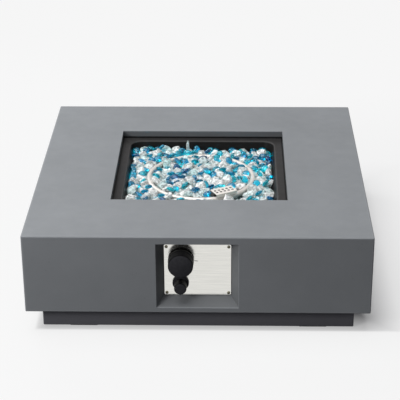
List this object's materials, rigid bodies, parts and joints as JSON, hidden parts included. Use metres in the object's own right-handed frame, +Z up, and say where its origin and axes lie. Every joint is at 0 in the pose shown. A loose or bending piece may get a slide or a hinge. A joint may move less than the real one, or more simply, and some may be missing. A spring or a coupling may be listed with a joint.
{
  "type": "gas fire pit table",
  "caption": "Low square concrete fire table on a recessed plinth, with a drop-in burner pan of fire glass, a ring burner and a splayed front recess holding a valve knob and an igniter button.",
  "frame": {"origin": "on the floor under the middle of the square body", "axes": "+Z up, -Y towards the control recess, +X to the right as seen from the front"},
  "size_m": [0.711, 0.716, 0.2255],
  "materials": {
    "concrete": "smooth cast, matt",
    "base_concrete": "smooth cast, matt",
    "pad_rubber": "matt",
    "pan_enamel": "heat-proof satin black",
    "burner_steel": "satin",
    "plate_steel": "fine horizontal brushing",
    "zinc_steel": "zinc plated",
    "dark_steel": "blackened",
    "valve_alloy": "die cast",
    "pipe_alloy": "drawn tube",
    "fitting_brass": "turned",
    "probe_copper": "drawn",
    "knob_plastic": "moulded, fine satin",
    "lead_sleeve": "silicone",
    "insulator_ceramic": "glazed",
    "battery_wrap": "plain wrap",
    "glass_fill": "tumbled",
    "glass_clear": "tumbled, wet look",
    "glass_blue": "polished"
  },
  "bodies": {
    "table": {"concrete_shell": "concrete", "plinth": "base_concrete", "foot_pads": "pad_rubber", "plinth_bolts": "zinc_steel", "hose_grommet": "pad_rubber", "burner_pan": "pan_enamel", "burner_ring": "burner_steel", "ring_legs": "burner_steel", "burner_locknut": "fitting_brass", "air_mixer": "zinc_steel", "gas_jet": "fitting_brass", "gas_pipe": "pipe_alloy", "pipe_nuts": "fitting_brass", "ignition_shield": "burner_steel", "pilot_bracket": "burner_steel", "shield_screws": "zinc_steel", "electrode_insulator": "insulator_ceramic", "electrode_rod": "dark_steel", "thermocouple": "probe_copper", "ignition_lead": "lead_sleeve", "thermocouple_lead": "probe_copper", "control_plate": "plate_steel", "plate_screws": "dark_steel", "valve_body": "valve_alloy", "valve_screws": "zinc_steel", "magnet_nut": "fitting_brass", "inlet_fitting": "fitting_brass", "sleeve_spring": "zinc_steel", "igniter_bezel": "knob_plastic", "igniter_nut": "knob_plastic", "igniter_cap": "knob_plastic", "igniter_battery": "battery_wrap", "button_spring": "zinc_steel", "fire_glass_bed": "glass_fill", "clear_glass_lumps": "glass_clear", "blue_glass_beads": "glass_blue"},
    "valve_plunger": {"stem_sleeve": "fitting_brass"},
    "knob": {"control_knob": "knob_plastic", "valve_stem": "fitting_brass"},
    "button": {"igniter_button": "knob_plastic"}
  },
  "joints": [
    {"name": "knob_push", "type": "slide", "parent": "table", "child": "valve_plunger", "axis": [0, 1, 0], "range_m": [0, 0.004], "stiffness_N_per_m": 1500, "deforming": ["sleeve_spring"]},
    {"name": "knob_turn", "type": "hinge", "parent": "valve_plunger", "child": "knob", "pos_m": [-0.034, -0.3245, 0.1585], "axis": [0, -1, 0], "range_deg": [0, 180]},
    {"name": "button_push", "type": "slide", "parent": "table", "child": "button", "axis": [0, 1, 0], "range_m": [0, 0.004], "stiffness_N_per_m": 800, "deforming": ["button_spring"]}
  ]
}
